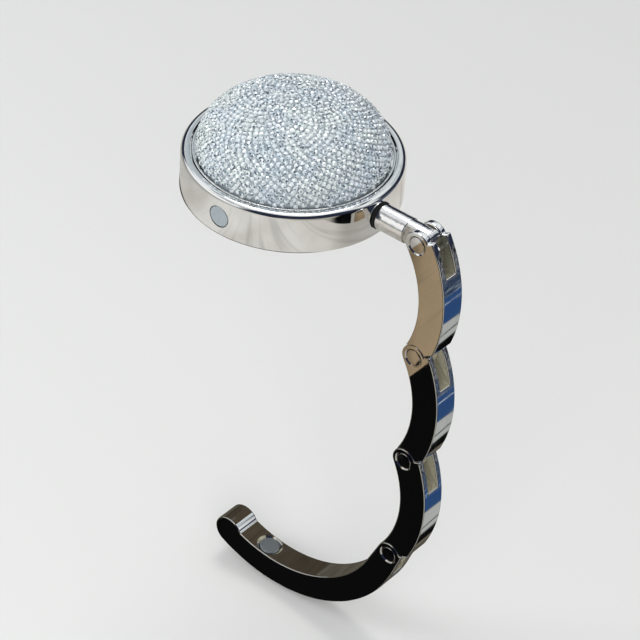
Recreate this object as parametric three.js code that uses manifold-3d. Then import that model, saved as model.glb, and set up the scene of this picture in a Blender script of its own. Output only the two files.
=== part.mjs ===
// Folding purse hook: a weighted case with a domed stone top, a swivelling neck, three links and a hook arm.
// Millimetres, +Z up. The origin is the centre of the pad's underside. The neck leaves the case along +X.
// The chain is drawn as it hangs in use, with every hinge on its open stop.
import * as THREE from 'three';
import { mergeVertices } from 'three/addons/utils/BufferGeometryUtils.js';
import Module from 'manifold-3d';

const wasm = await Module();
wasm.setup();

// Case: a turned metal cup, open at the top for the stone insert and recessed below for the pad
const CASE_RADIUS = 22.5;
const CASE_BASE_HEIGHT = 0.4;
const CASE_HEIGHT = 9.0;
const CASE_WALL = 3.3;
const CASE_RIM = 1.8;
const CASE_FLOOR = 0.8;
const CASE_TOP_FILLET = 0.7;
const CASE_BASE_FILLET = 0.35;
const CASE_RECESS_DEPTH = 2.4;

// Pad under the case, inside a rim
const PAD_RIM = 2.0;
const PAD_THICKNESS = 1.0;

// Stone insert: a shallow tray, a domed core and the crust of stones over it
const TRAY_LIP = 0.5;
const TRAY_FLOOR = 0.7;
const TRAY_LIP_DROP = 0.1;
const STONE_DEPTH = 0.9;
const STONE_SKIRT = 1.4;
const DOME_RISE = 11.0;
const DOME_BELLY_EXPONENT = 2.6;
const DOME_CROWN_EXPONENT = 2.1;

// Magnets: one in the case's rim, one in the arm
const MAGNET_RADIUS = 2.25;
const MAGNET_THICKNESS = 2.0;
const MAGNET_INSET = 0.05;

// Neck stud, its washers and clip
const COLLAR_RADIUS = 2.75;
const COLLAR_LENGTH = 7.0;
const EYE_REACH = 3.89;
const COLLAR_CHAMFER = 0.4;
const STUD_RADIUS = 1.55;
const STUD_TAIL = 0.8;
const GROOVE_DEPTH = 0.35;
const NECK_WASHER_RADIUS = 3.0;
const NECK_WASHER_THICKNESS = 0.6;
const SPOT_FACE_DEPTH = 0.35;
const RETAINING_WASHER_RADIUS = 2.3;
const RETAINING_WASHER_THICKNESS = 0.6;
const CLIP_RADIUS = 2.1;
const CLIP_THICKNESS = 0.6;
const CLIP_MOUTH = 1.6;

// Links
const LINK_PITCH = 27.0;
const LINK_WIDTH = 6.0;
const LINK_CROWN = 7.1;
const LINK_CROWN_RADIUS = 31.5;
const LINK_CROWN_STATION = 12.5;
const LINK_HOLLOW = 0.75;
const LINK_CHAMFER = 0.35;
const HEAD_RADIUS = 2.9;
const SLOT_WIDTH = 3.0;
const SLOT_LENGTH = 6.0;
const SHOULDER_RISE = 0.75;
const TONGUE_RADIUS = 2.65;
const STOP_TOOTH_RADIUS = 3.7;
const WEB_NEAR = 1.0;
const WEB_FAR = 3.0;

// Hinge pins
const PIN_RADIUS = 1.1;
const PIN_HEAD_RADIUS = 1.75;
const PIN_HEAD_THICKNESS = 0.5;
const PIN_HEAD_EDGE = 0.3;

// Hook arm
const ARM_INNER_RADIUS = 27.6;
const ARM_DEPTH = 6.2;
const ARM_PIN_INSET = 2.6;
const ARM_TIP_LIP = 1.0;

// Clearances
const SEAT_GAP = 0.3;
const BOND_GAP = 0.15;
const STONE_GAP = 0.2;
const RUNNING_GAP = 0.08;
const CHEEK_GAP = 0.15;
const HEAD_GAP = 0.3;
const WEB_GAP = 0.35;
const CUT_OVERRUN = 3.0;

// Angles in degrees. A link's lean is how far it tips away from the case, from straight down.
const FIRST_LEAN = 3.9;
const OPEN_TURN = 3.5;
const ARM_TURN = 9.3;
const SHOULDER_ANGLE = 27;
const STOP_ANGLE = 5;
const WEB_ANGLE = 40;
const TOOTH_SPAN_ANGLE = 23;
const ARM_MAGNET_ANGLE = 84.5;
const ARM_TIP_ANGLE = 103;

// Facet counts
const CASE_FACETS = 72;
const DOME_FACETS = 48;
const DOME_RINGS = 9;
const ROUND_FACETS = 32;
const FILLET_STEPS = 4;
const LINK_STEPS = 14;
const HEAD_STEPS = 12;
const ARM_STEPS = 34;

// Heights and stations that follow from the sizes above
const CASE_TOP = CASE_BASE_HEIGHT + CASE_HEIGHT;
const NECK_HEIGHT = CASE_TOP / 2;
const PAD_RECESS_RADIUS = CASE_RADIUS - PAD_RIM;
const PAD_RECESS_TOP = PAD_THICKNESS + SEAT_GAP;
const CAVITY_FLOOR = PAD_RECESS_TOP + CASE_FLOOR;
const CAVITY_RADIUS = CASE_RADIUS - CASE_WALL;
const RECESS_RADIUS = CASE_RADIUS - CASE_RIM;
const LEDGE_HEIGHT = CASE_TOP - CASE_RECESS_DEPTH;
const TRAY_RADIUS = RECESS_RADIUS - SEAT_GAP;
const TRAY_BASE = LEDGE_HEIGHT + SEAT_GAP;
const TRAY_TOP = CASE_TOP - TRAY_LIP_DROP;
const INSERT_BASE = TRAY_BASE + TRAY_FLOOR + SEAT_GAP;
const STONE_RADIUS = TRAY_RADIUS - TRAY_LIP - BOND_GAP;
const SPOT_FACE_STATION = CASE_RADIUS - SPOT_FACE_DEPTH;
const NECK_WASHER_STATION = SPOT_FACE_STATION + RUNNING_GAP;
const COLLAR_STATION = NECK_WASHER_STATION + NECK_WASHER_THICKNESS + RUNNING_GAP;
const COLLAR_END = COLLAR_STATION + COLLAR_LENGTH;
const NECK_REACH = COLLAR_END + EYE_REACH;
const BORE_RADIUS = STUD_RADIUS + RUNNING_GAP;
const RETAINER_STATION = CAVITY_RADIUS - SEAT_GAP - RETAINING_WASHER_THICKNESS;
const CLIP_STATION = RETAINER_STATION - RUNNING_GAP - CLIP_THICKNESS;
const STUD_END = CLIP_STATION - RUNNING_GAP - STUD_TAIL;
const TONGUE_WIDTH = SLOT_WIDTH - 2 * CHEEK_GAP;
const ARM_OUTER_RADIUS = ARM_INNER_RADIUS + ARM_DEPTH;
const ARM_PIN_RADIUS = ARM_OUTER_RADIUS - ARM_PIN_INSET;
const LINK_HALF = LINK_PITCH / 2;
const LINK_HOLLOW_SPAN = LINK_HOLLOW + HEAD_RADIUS;
const LINK_HOLLOW_LEAN = LINK_HOLLOW - HEAD_RADIUS;
const LINK_HOLLOW_SQUARES = LINK_HALF * LINK_HALF + LINK_HOLLOW_SPAN * LINK_HOLLOW_LEAN;
const LINK_HOLLOW_RADIUS = LINK_HOLLOW_SQUARES / (2 * LINK_HOLLOW_SPAN);

// Metals, rubber, magnets and the stone insert
const chrome = { color: 0xd9dbdd, metalness: 1.0, roughness: 0.08 };
const steel = { color: 0xb9bcc0, metalness: 1.0, roughness: 0.25 };
const magnet = { color: 0x9a9ea3, metalness: 0.9, roughness: 0.32 };
const rubber = { color: 0x1b1b1d, metalness: 0.0, roughness: 0.85 };
const resin = { color: 0xc9d6dc, metalness: 0.2, roughness: 0.35 };
const stone = { color: 0xdde8ee, metalness: 0.4, roughness: 0.12 };

function radians(degrees) {
  return THREE.MathUtils.degToRad(degrees);
}

// A point at a radius and an angle from a centre
function polar(centre, radius, angle) {
  return new THREE.Vector2(centre.x + radius * Math.cos(angle), centre.y + radius * Math.sin(angle));
}

// Points along an arc, both ends included
function arcPoints(centre, radius, from, to, steps) {
  const points = [];
  for (let step = 0; step <= steps; step += 1) {
    points.push(polar(centre, radius, from + ((to - from) * step) / steps));
  }
  return points;
}

// Where the ray from the origin at an angle meets a circle, on its far side
function rayToCircle(angle, centre, radius) {
  const direction = new THREE.Vector2(Math.cos(angle), Math.sin(angle));
  const along = direction.dot(centre);
  const reach = along + Math.sqrt(along * along - centre.lengthSq() + radius * radius);
  return direction.multiplyScalar(reach);
}

// A closed mesh as a solid, and a solid as a mesh's geometry
function toSolid(geometry) {
  const bare = geometry.clone();
  bare.deleteAttribute('normal');
  bare.deleteAttribute('uv');
  const merged = mergeVertices(bare);
  const vertProperties = new Float32Array(merged.attributes.position.array);
  const triVerts = new Uint32Array(merged.index.array);
  return new wasm.Manifold(new wasm.Mesh({ numProp: 3, vertProperties, triVerts }));
}

function toGeometry(solid) {
  const mesh = solid.getMesh();
  const geometry = new THREE.BufferGeometry();
  geometry.setAttribute('position', new THREE.BufferAttribute(new Float32Array(mesh.vertProperties), 3));
  geometry.setIndex(new THREE.BufferAttribute(new Uint32Array(mesh.triVerts), 1));
  geometry.computeVertexNormals();
  return geometry;
}

// A solid turned about Z from [radius, height] pairs
function turned(profile, facets) {
  const points = profile.map(([radius, height]) => new THREE.Vector2(radius, height));
  return toSolid(new THREE.LatheGeometry(points, facets).rotateX(Math.PI / 2));
}

// The same about X: pairs are [radius, station]
function turnedAboutX(profile, facets) {
  const points = profile.map(([radius, station]) => new THREE.Vector2(radius, station));
  return toSolid(new THREE.LatheGeometry(points, facets).rotateZ(-Math.PI / 2));
}

// A round bar along Y through a point of the chain's plane
function barAlongY(x, z, radius, from, to) {
  const bar = new THREE.CylinderGeometry(radius, radius, to - from, ROUND_FACETS);
  return toSolid(bar.translate(x, (from + to) / 2, z));
}

// A round bar along X at the height of its own axis
function barAlongX(radius, from, to) {
  const bar = new THREE.CylinderGeometry(radius, radius, to - from, ROUND_FACETS);
  return toSolid(bar.rotateZ(-Math.PI / 2).translate((from + to) / 2, 0, 0));
}

// A plate across the chain, drawn in X and Z and centred on Y, with its long edges chamfered
function plate(points, width, chamfer) {
  const geometry = new THREE.ExtrudeGeometry(new THREE.Shape(points), {
    depth: width - 2 * chamfer,
    bevelEnabled: chamfer > 0,
    bevelThickness: chamfer,
    bevelSize: chamfer,
    bevelOffset: -chamfer,
    bevelSegments: 1,
    steps: 1,
  });
  geometry.translate(0, 0, chamfer - width / 2);
  return toSolid(geometry.rotateX(Math.PI / 2));
}

function box(x0, x1, y0, y1, z0, z1) {
  const geometry = new THREE.BoxGeometry(x1 - x0, y1 - y0, z1 - z0);
  return toSolid(geometry.translate((x0 + x1) / 2, (y0 + y1) / 2, (z0 + z1) / 2));
}

// Pairs along a quarter round, for a turned edge
function quarterRound(radius, height, fillet, from, to) {
  const centre = new THREE.Vector2(radius, height);
  return arcPoints(centre, fillet, from, to, FILLET_STEPS).map((point) => [point.x, point.y]);
}

// Pairs down the dome's side, from the crown on the axis to the foot
function domeProfile(radius, foot, rise) {
  const pairs = [];
  for (let ring = 0; ring <= DOME_RINGS; ring += 1) {
    const turn = (Math.PI / 2) * (ring / DOME_RINGS);
    const across = radius * Math.sin(turn) ** (2 / DOME_BELLY_EXPONENT);
    const up = rise * Math.abs(Math.cos(turn)) ** (2 / DOME_CROWN_EXPONENT);
    pairs.push([ring === 0 ? 0 : across, foot + (ring === DOME_RINGS ? 0 : up)]);
  }
  return pairs;
}

// The case, with its bore and spot face for the neck at +X and its magnet pocket at -Y
function makeCase() {
  const profile = [
    [0, CAVITY_FLOOR],
    [0, PAD_RECESS_TOP],
    [PAD_RECESS_RADIUS, PAD_RECESS_TOP],
    [PAD_RECESS_RADIUS, CASE_BASE_HEIGHT],
    ...quarterRound(
      CASE_RADIUS - CASE_BASE_FILLET,
      CASE_BASE_HEIGHT + CASE_BASE_FILLET,
      CASE_BASE_FILLET,
      -Math.PI / 2,
      0,
    ),
    ...quarterRound(
      CASE_RADIUS - CASE_TOP_FILLET,
      CASE_TOP - CASE_TOP_FILLET,
      CASE_TOP_FILLET,
      0,
      Math.PI / 2,
    ),
    [RECESS_RADIUS, CASE_TOP],
    [RECESS_RADIUS, LEDGE_HEIGHT],
    [CAVITY_RADIUS, LEDGE_HEIGHT],
    [CAVITY_RADIUS, CAVITY_FLOOR],
    [0, CAVITY_FLOOR],
  ];
  const cup = turned(profile, CASE_FACETS);
  const bore = barAlongX(BORE_RADIUS, CAVITY_RADIUS - CUT_OVERRUN, CASE_RADIUS + CUT_OVERRUN);
  const spotFaceRadius = NECK_WASHER_RADIUS + BOND_GAP;
  const spotFace = barAlongX(spotFaceRadius, SPOT_FACE_STATION, CASE_RADIUS + CUT_OVERRUN);
  const pocketFloor = CASE_RADIUS - MAGNET_INSET - MAGNET_THICKNESS - BOND_GAP;
  const pocket = barAlongY(
    0,
    NECK_HEIGHT,
    MAGNET_RADIUS + BOND_GAP,
    -CASE_RADIUS - CUT_OVERRUN,
    -pocketFloor,
  );
  return cup
    .subtract(bore.translate([0, 0, NECK_HEIGHT]))
    .subtract(spotFace.translate([0, 0, NECK_HEIGHT]))
    .subtract(pocket);
}

function makePad() {
  const radius = PAD_RECESS_RADIUS - SEAT_GAP;
  return turned([[0, 0], [radius, 0], [radius, PAD_THICKNESS], [0, PAD_THICKNESS]], CASE_FACETS);
}

function makeTray() {
  const lipInner = TRAY_RADIUS - TRAY_LIP;
  const floorTop = TRAY_BASE + TRAY_FLOOR;
  const profile = [
    [0, TRAY_BASE],
    [TRAY_RADIUS, TRAY_BASE],
    [TRAY_RADIUS, TRAY_TOP],
    [lipInner, TRAY_TOP],
    [lipInner, floorTop],
    [0, floorTop],
  ];
  return turned(profile, CASE_FACETS);
}

// The core is the dome of the stones less their depth
function makeDomeCore() {
  const radius = STONE_RADIUS - STONE_DEPTH - STONE_GAP;
  const foot = INSERT_BASE + STONE_SKIRT;
  const dome = domeProfile(radius, foot, DOME_RISE - STONE_DEPTH - STONE_GAP);
  return turned([[0, INSERT_BASE], [radius, INSERT_BASE], ...dome.reverse()], DOME_FACETS);
}

function makeStoneCrust() {
  const foot = INSERT_BASE + STONE_SKIRT;
  const innerRadius = STONE_RADIUS - STONE_DEPTH;
  const outer = domeProfile(STONE_RADIUS, foot, DOME_RISE);
  const inner = domeProfile(innerRadius, foot, DOME_RISE - STONE_DEPTH);
  const rim = [[innerRadius, INSERT_BASE], [STONE_RADIUS, INSERT_BASE]];
  return turned([...inner, ...rim, ...outer.reverse()], DOME_FACETS);
}

// The stud turns in the case's bore. Its collar stands outside and its tongue carries the first pin.
function makeNeck() {
  const grooveRadius = STUD_RADIUS - GROOVE_DEPTH;
  const profile = [
    [0, STUD_END],
    [STUD_RADIUS, STUD_END],
    [STUD_RADIUS, CLIP_STATION - RUNNING_GAP],
    [grooveRadius, CLIP_STATION - RUNNING_GAP],
    [grooveRadius, CLIP_STATION + CLIP_THICKNESS + RUNNING_GAP / 2],
    [STUD_RADIUS, CLIP_STATION + CLIP_THICKNESS + RUNNING_GAP / 2],
    [STUD_RADIUS, COLLAR_STATION],
    [COLLAR_RADIUS, COLLAR_STATION],
    [COLLAR_RADIUS, COLLAR_END - COLLAR_CHAMFER],
    [COLLAR_RADIUS - COLLAR_CHAMFER, COLLAR_END],
    [0, COLLAR_END],
  ];
  const stud = turnedAboutX(profile, ROUND_FACETS);
  const eye = new THREE.Vector2(NECK_REACH, 0);
  const root = COLLAR_END - COLLAR_LENGTH / 2;
  const toothFoot = radians(FIRST_LEAN + STOP_ANGLE - WEB_ANGLE);
  const toothTop = toothFoot + radians(TOOTH_SPAN_ANGLE);
  const rootHalf = COLLAR_RADIUS - COLLAR_CHAMFER;
  const tongueOutline = [
    new THREE.Vector2(root, rootHalf),
    new THREE.Vector2(root, -rootHalf),
    new THREE.Vector2(COLLAR_END, -TONGUE_RADIUS),
    ...arcPoints(eye, TONGUE_RADIUS, -Math.PI / 2, toothFoot, HEAD_STEPS),
    ...arcPoints(eye, STOP_TOOTH_RADIUS, toothFoot, toothTop, FILLET_STEPS),
    ...arcPoints(eye, TONGUE_RADIUS, toothTop, Math.PI / 2, HEAD_STEPS),
    new THREE.Vector2(COLLAR_END, TONGUE_RADIUS),
  ];
  const tongue = plate(tongueOutline, TONGUE_WIDTH, 0);
  const hole = barAlongY(NECK_REACH, 0, PIN_RADIUS + RUNNING_GAP, -LINK_WIDTH, LINK_WIDTH);
  return stud.add(tongue).subtract(hole);
}

function makeRing(inner, outer, from, thickness) {
  const profile = [
    [inner, from],
    [outer, from],
    [outer, from + thickness],
    [inner, from + thickness],
    [inner, from],
  ];
  return turnedAboutX(profile, ROUND_FACETS);
}

// The clip is a ring with a mouth, pushed into the stud's groove from above
function makeClip() {
  const grip = STUD_RADIUS - GROOVE_DEPTH + RUNNING_GAP / 2;
  const ring = makeRing(grip, CLIP_RADIUS, CLIP_STATION, CLIP_THICKNESS);
  const mouth = box(
    CLIP_STATION - CUT_OVERRUN,
    CLIP_STATION + CLIP_THICKNESS + CUT_OVERRUN,
    -CLIP_MOUTH / 2,
    CLIP_MOUTH / 2,
    -CLIP_RADIUS - CUT_OVERRUN,
    0,
  );
  return ring.subtract(mouth);
}

// The fork's slot and the cross holes for its pin, cut at the origin of a link or the arm.
// In a webbed slot a low web stands on the floor, with its stop face on a ray from the pin.
function forkCuts(webbed) {
  const origin = new THREE.Vector2(0, 0);
  const half = LINK_WIDTH / 2;
  const headDepth = PIN_HEAD_THICKNESS + BOND_GAP;
  const sinkRadius = PIN_HEAD_RADIUS + BOND_GAP;
  const reach = 2 * LINK_CROWN;
  const top = HEAD_RADIUS + CUT_OVERRUN;
  const face = -radians(WEB_ANGLE);
  const webRadius = TONGUE_RADIUS + WEB_GAP;
  const webOutline = [
    new THREE.Vector2(WEB_NEAR, -SLOT_LENGTH),
    ...arcPoints(origin, webRadius, -Math.acos(WEB_NEAR / webRadius), face, FILLET_STEPS),
    new THREE.Vector2(WEB_FAR, WEB_FAR * Math.tan(face)),
    new THREE.Vector2(WEB_FAR, -SLOT_LENGTH),
  ];
  const slotOutline = [
    new THREE.Vector2(reach, -SLOT_LENGTH),
    new THREE.Vector2(reach, top),
    new THREE.Vector2(-reach, top),
    new THREE.Vector2(-reach, -SLOT_LENGTH),
    ...(webbed ? webOutline : []),
  ];
  const slot = plate(slotOutline, SLOT_WIDTH, 0);
  const hole = barAlongY(0, 0, PIN_RADIUS + RUNNING_GAP / 2, -half - CUT_OVERRUN, half + CUT_OVERRUN);
  const nearSink = barAlongY(0, 0, sinkRadius, -half - CUT_OVERRUN, headDepth - half);
  const farSink = barAlongY(0, 0, sinkRadius, half - headDepth, half + CUT_OVERRUN);
  return slot.add(hole).add(nearSink).add(farSink);
}

// One link: a crescent from its own pin at the origin down to the next, forked above and tongued below.
// Its shoulder and its lip lie on rays from the pins, and its hollow side runs tangent to both ends.
function makeLink(webbed) {
  const pin = new THREE.Vector2(0, 0);
  const nextPin = new THREE.Vector2(0, -LINK_PITCH);
  const crownCentre = new THREE.Vector2(LINK_CROWN - LINK_CROWN_RADIUS, -LINK_CROWN_STATION);
  const hollowCentre = new THREE.Vector2(LINK_HOLLOW - LINK_HOLLOW_RADIUS, -LINK_HALF);
  const shoulder = radians(SHOULDER_ANGLE);
  const lip = radians(SHOULDER_ANGLE - OPEN_TURN + STOP_ANGLE);
  const crownTop = rayToCircle(shoulder, crownCentre, LINK_CROWN_RADIUS);
  const lipTop = rayToCircle(lip, crownCentre.clone().sub(nextPin), LINK_CROWN_RADIUS).add(nextPin);
  const angleOf = (point, centre) => Math.atan2(point.y - centre.y, point.x - centre.x);
  const blend = angleOf(pin, hollowCentre);
  const outline = [
    crownTop,
    ...arcPoints(pin, HEAD_RADIUS, shoulder, Math.PI + blend, HEAD_STEPS),
    ...arcPoints(hollowCentre, LINK_HOLLOW_RADIUS, blend, -blend, LINK_STEPS).slice(1),
    ...arcPoints(nextPin, HEAD_RADIUS, -Math.PI - blend, lip, HEAD_STEPS).slice(1),
    ...arcPoints(
      crownCentre,
      LINK_CROWN_RADIUS,
      angleOf(lipTop, crownCentre),
      angleOf(crownTop, crownCentre),
      LINK_STEPS,
    ).slice(0, -1),
  ];
  const body = plate(outline, LINK_WIDTH, LINK_CHAMFER);
  const half = LINK_WIDTH / 2;
  const tongueHalf = TONGUE_WIDTH / 2;
  const clearance = HEAD_RADIUS + HEAD_GAP;
  const nearSweep = barAlongY(nextPin.x, nextPin.y, clearance, -half - CUT_OVERRUN, -tongueHalf);
  const farSweep = barAlongY(nextPin.x, nextPin.y, clearance, tongueHalf, half + CUT_OVERRUN);
  const hole = barAlongY(nextPin.x, nextPin.y, PIN_RADIUS + RUNNING_GAP, -half, half);
  return body.subtract(forkCuts(webbed)).subtract(nearSweep).subtract(farSweep).subtract(hole);
}

function makePin() {
  const half = LINK_WIDTH / 2;
  const inner = half - PIN_HEAD_THICKNESS;
  const edge = PIN_HEAD_RADIUS - PIN_HEAD_EDGE;
  const points = [
    [0, -half],
    [edge, -half],
    [PIN_HEAD_RADIUS, PIN_HEAD_EDGE - half],
    [PIN_HEAD_RADIUS, -inner],
    [PIN_RADIUS, -inner],
    [PIN_RADIUS, inner],
    [PIN_HEAD_RADIUS, inner],
    [PIN_HEAD_RADIUS, half - PIN_HEAD_EDGE],
    [edge, half],
    [0, half],
  ].map(([radius, station]) => new THREE.Vector2(radius, station));
  return toSolid(new THREE.LatheGeometry(points, ROUND_FACETS));
}

// The arm: its bow's centre lies level with the pin, towards the case
const armCentre = new THREE.Vector2(-ARM_PIN_RADIUS, 0);

function makeArm() {
  const pin = new THREE.Vector2(0, 0);
  const shoulder = radians(SHOULDER_ANGLE + ARM_TURN - OPEN_TURN);
  const crownTop = polar(pin, HEAD_RADIUS + SHOULDER_RISE, shoulder);
  const crownReach = crownTop.clone().sub(armCentre);
  const crownBlend = Math.acos(ARM_OUTER_RADIUS / crownReach.length()) - crownReach.angle();
  const hollowBlend = Math.acos((ARM_INNER_RADIUS + HEAD_RADIUS) / ARM_PIN_RADIUS);
  const tip = radians(ARM_TIP_ANGLE);
  const outline = [
    crownTop,
    ...arcPoints(pin, HEAD_RADIUS, shoulder, Math.PI - hollowBlend, HEAD_STEPS),
    ...arcPoints(armCentre, ARM_INNER_RADIUS, -hollowBlend, -tip, ARM_STEPS),
    ...arcPoints(armCentre, ARM_OUTER_RADIUS, -tip, -crownBlend, ARM_STEPS),
  ];
  const bow = plate(outline, LINK_WIDTH, LINK_CHAMFER);
  const tipRadius = (ARM_DEPTH + ARM_TIP_LIP) / 2;
  const tipCentre = polar(armCentre, ARM_OUTER_RADIUS - tipRadius, -tip);
  const tipOutline = arcPoints(tipCentre, tipRadius, 0, 2 * Math.PI, ROUND_FACETS).slice(1);
  const tipRound = plate(tipOutline, LINK_WIDTH, LINK_CHAMFER);
  const pocketEnd = ARM_INNER_RADIUS + MAGNET_INSET + MAGNET_THICKNESS + BOND_GAP;
  const pocket = barAlongX(MAGNET_RADIUS + BOND_GAP, ARM_INNER_RADIUS - CUT_OVERRUN, pocketEnd);
  const placedPocket = pocket.rotate([0, ARM_MAGNET_ANGLE, 0]).translate([armCentre.x, 0, armCentre.y]);
  return bow.add(tipRound).subtract(forkCuts(false)).subtract(placedPocket);
}

// Names a solid and gives it its colour
function piece(name, solid, finish) {
  const mesh = new THREE.Mesh(toGeometry(solid), new THREE.MeshStandardMaterial(finish));
  mesh.name = name;
  return mesh;
}

const hook = new THREE.Group();

// Case and insert
hook.add(piece('case_body', makeCase(), chrome));
hook.add(piece('rubber_pad', makePad(), rubber));
hook.add(piece('dome_tray', makeTray(), chrome));
hook.add(piece('dome_core', makeDomeCore(), resin));
hook.add(piece('stone_crust', makeStoneCrust(), stone));
const caseMagnet = barAlongY(
  0,
  NECK_HEIGHT,
  MAGNET_RADIUS,
  MAGNET_INSET - CASE_RADIUS,
  MAGNET_INSET + MAGNET_THICKNESS - CASE_RADIUS,
);
hook.add(piece('case_magnet', caseMagnet, magnet));

// Neck and what holds it
const neck = new THREE.Group();
neck.position.set(0, 0, NECK_HEIGHT);
const washerBore = STUD_RADIUS + BOND_GAP;
const neckWasher = makeRing(washerBore, NECK_WASHER_RADIUS, NECK_WASHER_STATION, NECK_WASHER_THICKNESS);
const retainingWasher = makeRing(
  washerBore,
  RETAINING_WASHER_RADIUS,
  RETAINER_STATION,
  RETAINING_WASHER_THICKNESS,
);
neck.add(piece('neck_washer', neckWasher, rubber));
neck.add(piece('swivel_neck', makeNeck(), chrome));
neck.add(piece('retaining_washer', retainingWasher, steel));
neck.add(piece('retaining_clip', makeClip(), steel));
hook.add(neck);

// Links, each hung from the one above. Only the first has the web that stops the neck's tooth.
const linkNames = ['upper', 'middle', 'lower'];
let carrier = neck;
let hang = new THREE.Vector3(NECK_REACH, 0, 0);
let turn = -FIRST_LEAN;
linkNames.forEach((name, index) => {
  const joint = new THREE.Group();
  joint.position.copy(hang);
  joint.rotation.y = radians(turn);
  joint.add(piece(`link_${name}`, makeLink(carrier === neck), chrome));
  joint.add(piece(`hinge_pin_${index + 1}`, makePin(), chrome));
  carrier.add(joint);
  carrier = joint;
  hang = new THREE.Vector3(0, 0, -LINK_PITCH);
  turn = OPEN_TURN;
});

// Arm and its magnet
const arm = new THREE.Group();
arm.position.copy(hang);
arm.rotation.y = radians(ARM_TURN);
arm.add(piece('hook_arm', makeArm(), chrome));
arm.add(piece(`hinge_pin_${linkNames.length + 1}`, makePin(), chrome));
const armMagnet = barAlongX(
  MAGNET_RADIUS,
  ARM_INNER_RADIUS + MAGNET_INSET,
  ARM_INNER_RADIUS + MAGNET_INSET + MAGNET_THICKNESS,
)
  .rotate([0, ARM_MAGNET_ANGLE, 0])
  .translate([armCentre.x, 0, armCentre.y]);
arm.add(piece('arm_magnet', armMagnet, magnet));
carrier.add(arm);

export default hook;
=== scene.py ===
"""Folding purse hook: the finished pieces and their finishes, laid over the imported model.

Every class makes the pieces of one sub-assembly. Sizes are in millimetres and angles in
degrees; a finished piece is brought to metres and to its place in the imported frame.
"""
from __future__ import annotations

import bisect
import logging
import math
import random
from dataclasses import dataclass
from enum import Enum
from typing import Callable, Iterable, Mapping, Sequence

import bpy
from mathutils import Euler, Matrix, Vector


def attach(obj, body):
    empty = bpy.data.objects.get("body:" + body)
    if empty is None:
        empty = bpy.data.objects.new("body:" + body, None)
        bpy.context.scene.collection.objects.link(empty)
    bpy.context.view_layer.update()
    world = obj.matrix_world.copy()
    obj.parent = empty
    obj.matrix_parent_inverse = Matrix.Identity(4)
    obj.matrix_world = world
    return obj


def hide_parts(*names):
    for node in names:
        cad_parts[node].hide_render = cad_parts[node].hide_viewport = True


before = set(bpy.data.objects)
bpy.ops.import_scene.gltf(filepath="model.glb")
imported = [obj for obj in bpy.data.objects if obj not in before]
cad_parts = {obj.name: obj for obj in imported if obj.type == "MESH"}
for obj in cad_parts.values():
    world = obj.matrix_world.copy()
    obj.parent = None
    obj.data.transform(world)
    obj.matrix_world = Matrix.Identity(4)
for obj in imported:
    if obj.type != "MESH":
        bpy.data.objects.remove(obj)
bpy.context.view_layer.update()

LOG = logging.getLogger("purse_hook")
METRES = 0.001
FULL_TURN = 2 * math.pi
NECK_HEIGHT = 4.7

Colour = tuple[float, float, float]
Place = tuple[float, float, float]
Point = tuple[float, float]
Piece = bpy.types.Object
Socket = bpy.types.NodeSocket


class Body(Enum):
    """The moving bodies of the hook."""

    CASE = "case"
    SWIVEL = "swivel"
    UPPER = "upper"
    MIDDLE = "middle"
    LOWER = "lower"
    HOOK = "hook"


class Slot(Enum):
    """The material slots of the record."""

    CHROME = "chrome"
    RUBBER = "rubber"
    RESIN = "resin"
    STONES = "stones"
    MAGNET = "magnet"
    STEEL = "steel"


class Axis(Enum):
    """The axes that a turned piece may have."""

    X = (1.0, 0.0, 0.0)
    Y = (0.0, 1.0, 0.0)
    Z = (0.0, 0.0, 1.0)


class Cut(Enum):
    """What one solid does to another."""

    AWAY = "DIFFERENCE"
    JOIN = "UNION"
    SHARE = "INTERSECT"


@dataclass(frozen=True)
class Seat:
    """Where a piece drawn about its own pin stands in the hook, and how far it is turned."""

    x: float = 0.0
    z: float = 0.0
    turn: float = 0.0

    def matrix(self) -> Matrix:
        """Return the move from the piece's own drawing to the hook, in millimetres."""
        turn = Matrix.Rotation(math.radians(self.turn), 4, "Y")
        return Matrix.Translation((self.x, 0.0, self.z)) @ turn

    def below(self, drop: float, turn: float) -> Seat:
        """Return the seat a drop straight down this one's drawing, turned that much further."""
        foot = self.matrix() @ Vector((0.0, 0.0, -drop))
        return Seat(foot.x, foot.z, self.turn + turn)


# ---- drawing


def polar(centre: Point, radius: float, degrees: float) -> Point:
    """Return the point at a radius and an angle from a centre."""
    angle = math.radians(degrees)
    return centre[0] + radius * math.cos(angle), centre[1] + radius * math.sin(angle)


def arc(centre: Point, radius: float, start: float, end: float, steps: int) -> list[Point]:
    """Return the points of an arc with that many chords, from one angle to another."""
    turns = (start + (end - start) * step / steps for step in range(steps + 1))
    return [polar(centre, radius, turn) for turn in turns]


def quarter(corner: Point, edge: float, start: float, steps: int = 4) -> list[Point]:
    """Return a square corner rounded over a quarter turn.

    Args:
        corner: The sharp corner.
        edge: The rounding's radius.
        start: The angle at which the rounding starts.
        steps: The number of chords.

    Returns:
        The rounding's points.
    """
    first, last = (polar((0.0, 0.0), edge, angle) for angle in (start, start + 90))
    centre = (corner[0] - first[0] - last[0], corner[1] - first[1] - last[1])
    return arc(centre, edge, start, start + 90, steps)


def disc(radius: float, low: float, high: float, edge: float, inner: float = 0.0) -> list[Point]:
    """Return the profile of a disc or ring with rounded outer edges.

    Args:
        radius: Its outer radius.
        low: Where it starts along its axis.
        high: Where it ends.
        edge: The radius of its outer edges.
        inner: The radius of its hole.

    Returns:
        The profile, from the axis or the hole outwards and back.
    """
    wall = quarter((radius, low), edge, -90) + quarter((radius, high), edge, 0)
    return [(inner, low), *wall, (inner, high)]


def bearing(point: Point, centre: Point) -> float:
    """Return the angle in degrees at which a point is seen from a centre."""
    return math.degrees(math.atan2(point[1] - centre[1], point[0] - centre[0]))


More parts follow.
